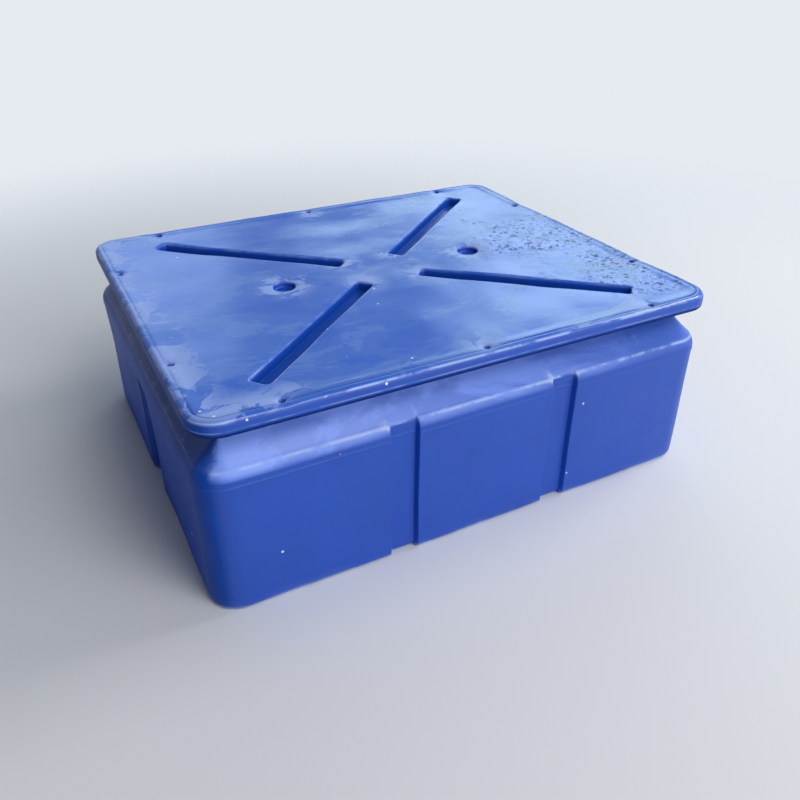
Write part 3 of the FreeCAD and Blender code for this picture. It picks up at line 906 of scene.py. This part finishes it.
for share, weight in ((painted_shade, 2.0), (in_hollow, 0.75)):
    shine_lost = add(tree, "ShaderNodeMath", {
        0: share, 1: weight, 2: shine_lost,
    }, operation="MULTIPLY_ADD")[0]
shine = add(tree, "ShaderNodeMapRange", {"Value": shine_lost, "To Min": 0.5, "To Max": 0.04})[0]
print("nodes with the gloss:", len(tree.nodes))

# %% Its relief
# The ripples are stronger where the puddle stood, and the specks stand up as grains. Heights are in mm.
pooled = add(tree, "ShaderNodeMapRange", {
    "Value": puddle, "From Min": 0.7, "From Max": 1.2, "To Min": 1.0, "To Max": 3.2,
})[0]
ripple = add(tree, "ShaderNodeMath", {0: ripple, 1: pooled}, operation="MULTIPLY")[0]
relief = {}
for height, strength, distance in ((ripple, 1.0, 0.35), (peel, 0.15, 0.6), (soil, 0.5, 1.2)):
    bump = add(tree, "ShaderNodeBump", {
        "Height": height, "Strength": strength, "Distance": distance * MM, **relief,
    })
    relief = {"Normal": bump["Normal"]}
shader = add(tree, "ShaderNodeBsdfPrincipled", {
    "Base Color": colour, "Roughness": roughness, "IOR": POLYETHYLENE_IOR,
    "Specular IOR Level": shine, **relief,
})
tree.links.new(shader["BSDF"], output.inputs["Surface"])
mesh.materials.append(plastic)
print("materials:", plastic.name, "with", len(tree.nodes), "nodes")

# %% [markdown]
# ## The studio
#
# The photo was taken outdoors, under a pale sky and with dark things to the left, and was then cut out
# on white. Here the floor is pale paper that thins out to nothing some metres away, where the air behind
# it takes over. The camera and reflections see the air as a pale sky. As a light it is only a soft fill,
# faint on the left, and stronger in front and behind to the right.
#
# One sun lamp would light the float too, but with a hard shadow and no sheen. The sheen of a waxy plastic
# is the picture of a wide light, so there are eight soft boxes. They fade out to their edges, because a
# hard rim would show as a line in the top.

# %% Camera
# It stands where the photo's did. Its place, turn and lens were fitted to the float's straight edges.
CAMERA_PLACE = (-0.7812, -1.5918, 1.1563)
CAMERA_PITCH = 58.244
CAMERA_YAW = -27.674
SENSOR_WIDTH = 36.0
LENS = 34.63
camera_data = bpy.data.cameras.new("camera")
camera_data.sensor_width = SENSOR_WIDTH
camera_data.lens = LENS
camera = bpy.data.objects.new("camera", camera_data)
camera.location = CAMERA_PLACE
camera.rotation_euler = (math.radians(CAMERA_PITCH), 0, math.radians(CAMERA_YAW))
bpy.context.scene.collection.objects.link(camera)
bpy.context.scene.camera = camera
print("camera", round(camera.location.length, 2), "m from the middle of the float's foot")

# %% Floor
# Matt paper mirrors nothing, so the eye sees only the float's soft shadow on it.
FLOOR_REACH = 8.0
FADE_START = 1.1
FADE_END = 3.4
floor_mesh = bpy.data.meshes.new("studio_floor")
floor_corners = [(-1, -1, 0), (1, -1, 0), (1, 1, 0), (-1, 1, 0)]
floor_mesh.from_pydata((np.array(floor_corners) * FLOOR_REACH).tolist(), [], [(0, 1, 2, 3)])
floor = bpy.data.objects.new("studio_floor", floor_mesh)
bpy.context.scene.collection.objects.link(floor)
paper, tree, output = new_material("pale_floor_paper")
floor_place = add(tree, "ShaderNodeTexCoord")["Object"]
from_middle = add(tree, "ShaderNodeVectorMath", {0: floor_place}, operation="LENGTH")["Value"]
fade = add(tree, "ShaderNodeMapRange", {
    "Value": from_middle, "From Min": FADE_START, "From Max": FADE_END,
}, interpolation_type="SMOOTHSTEP")["Result"]
solid = add(tree, "ShaderNodeBsdfDiffuse", {"Color": hex_colour("#efefef")})["BSDF"]
clear = add(tree, "ShaderNodeBsdfTransparent")["BSDF"]
mixed = add(tree, "ShaderNodeMixShader", {"Fac": fade, 1: solid, 2: clear})["Shader"]
tree.links.new(mixed, output.inputs["Surface"])
floor_mesh.materials.append(paper)
print("floor fades out from", FADE_START, "to", FADE_END, "m")

# %% Air, as the camera and reflections see it
SEEN_BY = ("Is Camera Ray", "Is Glossy Ray", "Is Transmission Ray")
world = bpy.data.worlds.new("studio_air")
bpy.context.scene.world = world
world.use_nodes = True
tree = world.node_tree
tree.nodes.clear()
rays = add(tree, "ShaderNodeLightPath")
seen = 0.0
for ray in SEEN_BY:
    seen = add(tree, "ShaderNodeMath", {0: rays[ray], 1: seen}, operation="ADD", use_clamp=True)[0]
direction = add(tree, "ShaderNodeTexCoord")["Generated"]
rightward, backward, upward = add(tree, "ShaderNodeSeparateXYZ", {0: direction})
height_share = add(tree, "ShaderNodeMapRange", {
    "Value": upward, "From Min": 0.06, "From Max": 0.28,
}, interpolation_type="SMOOTHSTEP")["Result"]
sky_colour = add(tree, "ShaderNodeMix", {
    "Factor": height_share, "A": hex_colour("#e6ebf2"), "B": hex_colour("#b7cef2"),
}, data_type="RGBA")["Result"]
sky = add(tree, "ShaderNodeBackground", {"Color": sky_colour, "Strength": 1.0})["Background"]
print("the sky shows for:", ", ".join(SEEN_BY))

# %% Air, as a fill light
# The fill grows from left to right. In front and behind it is stronger, but not on the left.
FILL_LEAST = 0.03
FILL_STRENGTH = 0.26
FRONT_STRENGTH = 2.0
BEHIND_STRENGTH = 0.8
fill_strength = add(tree, "ShaderNodeMapRange", {
    "Value": rightward, "From Min": -1.0, "From Max": 0.6, "To Min": FILL_LEAST, "To Max": FILL_STRENGTH,
})["Result"]
clear_of_left = add(tree, "ShaderNodeMapRange", {
    "Value": rightward, "From Min": -0.15, "From Max": 0.2,
}, interpolation_type="SMOOTHSTEP")["Result"]
for start, stop, strength in ((-0.2, -0.85, FRONT_STRENGTH), (0.2, 0.85, BEHIND_STRENGTH)):
    facing = add(tree, "ShaderNodeMapRange", {
        "Value": backward, "From Min": start, "From Max": stop,
    }, interpolation_type="SMOOTHSTEP")["Result"]
    share = add(tree, "ShaderNodeMath", {0: facing, 1: clear_of_left}, operation="MULTIPLY")[0]
    fill_strength = add(tree, "ShaderNodeMath", {
        0: share, 1: strength, 2: fill_strength,
    }, operation="MULTIPLY_ADD")[0]
fill = add(tree, "ShaderNodeBackground", {
    "Color": hex_colour("#dde4f0"), "Strength": fill_strength,
})["Background"]
air = add(tree, "ShaderNodeMixShader", {"Fac": seen, 1: fill, 2: sky})["Shader"]
tree.links.new(air, tree.nodes.new("ShaderNodeOutputWorld").inputs["Surface"])
print("air:", len(tree.nodes), "nodes")

# %% A soft box
BOX_GROWTH = 1.3
FADE_FROM = 0.5  # the fade of a box, from its edge
FADE_TO = 0.2  # to this share of its width off the middle


def soft_box(name, place, aim, size, radiance, tint):
    """A rectangular area light at a place, facing an aim point, that fades out towards its edges.

    Its power is pi times radiance times area. A smooth step of the distance to each edge makes the fade,
    and the light is a little larger than the size asked for, to make up for it.
    """
    data = bpy.data.lights.new(name, "AREA")
    width, height = size[0] * BOX_GROWTH, size[1] * BOX_GROWTH
    data.shape, data.size, data.size_y = "RECTANGLE", width, height
    data.energy = math.pi * radiance * width * height
    data.color = hex_colour(tint)[:3]
    data.use_nodes = True
    tree = data.node_tree
    tree.nodes.clear()
    sheet_place = add(tree, "ShaderNodeNewGeometry")["Parametric"]
    share = 1.0
    for side in add(tree, "ShaderNodeSeparateXYZ", {0: sheet_place})[:2]:
        off_middle = add(tree, "ShaderNodeMath", {0: side, 1: 0.5}, operation="SUBTRACT")[0]
        off_middle = add(tree, "ShaderNodeMath", {0: off_middle}, operation="ABSOLUTE")[0]
        fade = add(tree, "ShaderNodeMapRange", {
            "Value": off_middle, "From Min": FADE_FROM, "From Max": FADE_TO,
        }, interpolation_type="SMOOTHSTEP")["Result"]
        share = add(tree, "ShaderNodeMath", {0: fade, 1: share}, operation="MULTIPLY")[0]
    glow = add(tree, "ShaderNodeEmission", {"Strength": share})["Emission"]
    tree.links.new(glow, tree.nodes.new("ShaderNodeOutputLight").inputs["Surface"])
    box = bpy.data.objects.new(name, data)
    box.location = place
    box.rotation_euler = (Vector(aim) - Vector(place)).to_track_quat("-Z", "Y").to_euler()
    box.visible_camera = False
    bpy.context.scene.collection.objects.link(box)


print("each soft box is", BOX_GROWTH, "times the size asked for")

# %% The soft boxes
WHITE = "#ffffff"
FRONT_AIM = (0.0, -0.4, 0.3)
TOP_AIM = (0.0, 0.0, 0.44)
for box in (
    # The main light, which lies as a sheen on the sloped shoulder.
    ("box_over_front", (0.25, -2.3, 3.0), (-0.1, -0.4, 0.3), (1.4, 1.3), 5.1, WHITE),
    # A long strip, which draws the line of light along the shoulder's bead.
    ("strip_high_front", (1.7, -3.4, 2.6), FRONT_AIM, (2.8, 0.6), 2.4, WHITE),
    # A low wide one that lifts the front wall.
    ("box_low_front", (1.7, -4.5, 1.35), FRONT_AIM, (3.0, 1.3), 1.5, WHITE),
    # The light on the top and the right end.
    ("box_high_right", (3.0, -0.3, 2.8), TOP_AIM, (1.6, 1.4), 9.0, WHITE),
    # A weak one for the left end's edges.
    ("box_left_high", (-2.8, -0.8, 2.3), (-0.5, -0.4, 0.3), (0.7, 0.6), 1.0, WHITE),
    # Three pieces of pale blue sky behind, which the top mirrors: brightest at its right end.
    ("sky_behind_right", (3.6, 3.2, 2.3), (0.2, 0.0, 0.44), (2.5, 1.3), 2.9, "#d0eeff"),
    ("sky_low_behind", (2.3, 4.5, 1.7), (0.15, 0.2, 0.44), (1.75, 0.72), 2.5, "#d0f2ff"),
    ("sky_behind_left", (0.1, 4.8, 2.25), TOP_AIM, (1.6, 1.7), 1.55, "#b9d6ff"),
):
    soft_box(*box)
print("soft boxes:", sorted(light.name for light in bpy.data.lights))

# %% [markdown]
# ## The last lines
#
# The Standard view transform shows a colour as it was written, where the default one would grey the
# bright top.

# %% Finish
bpy.context.scene.view_settings.view_transform = "Standard"
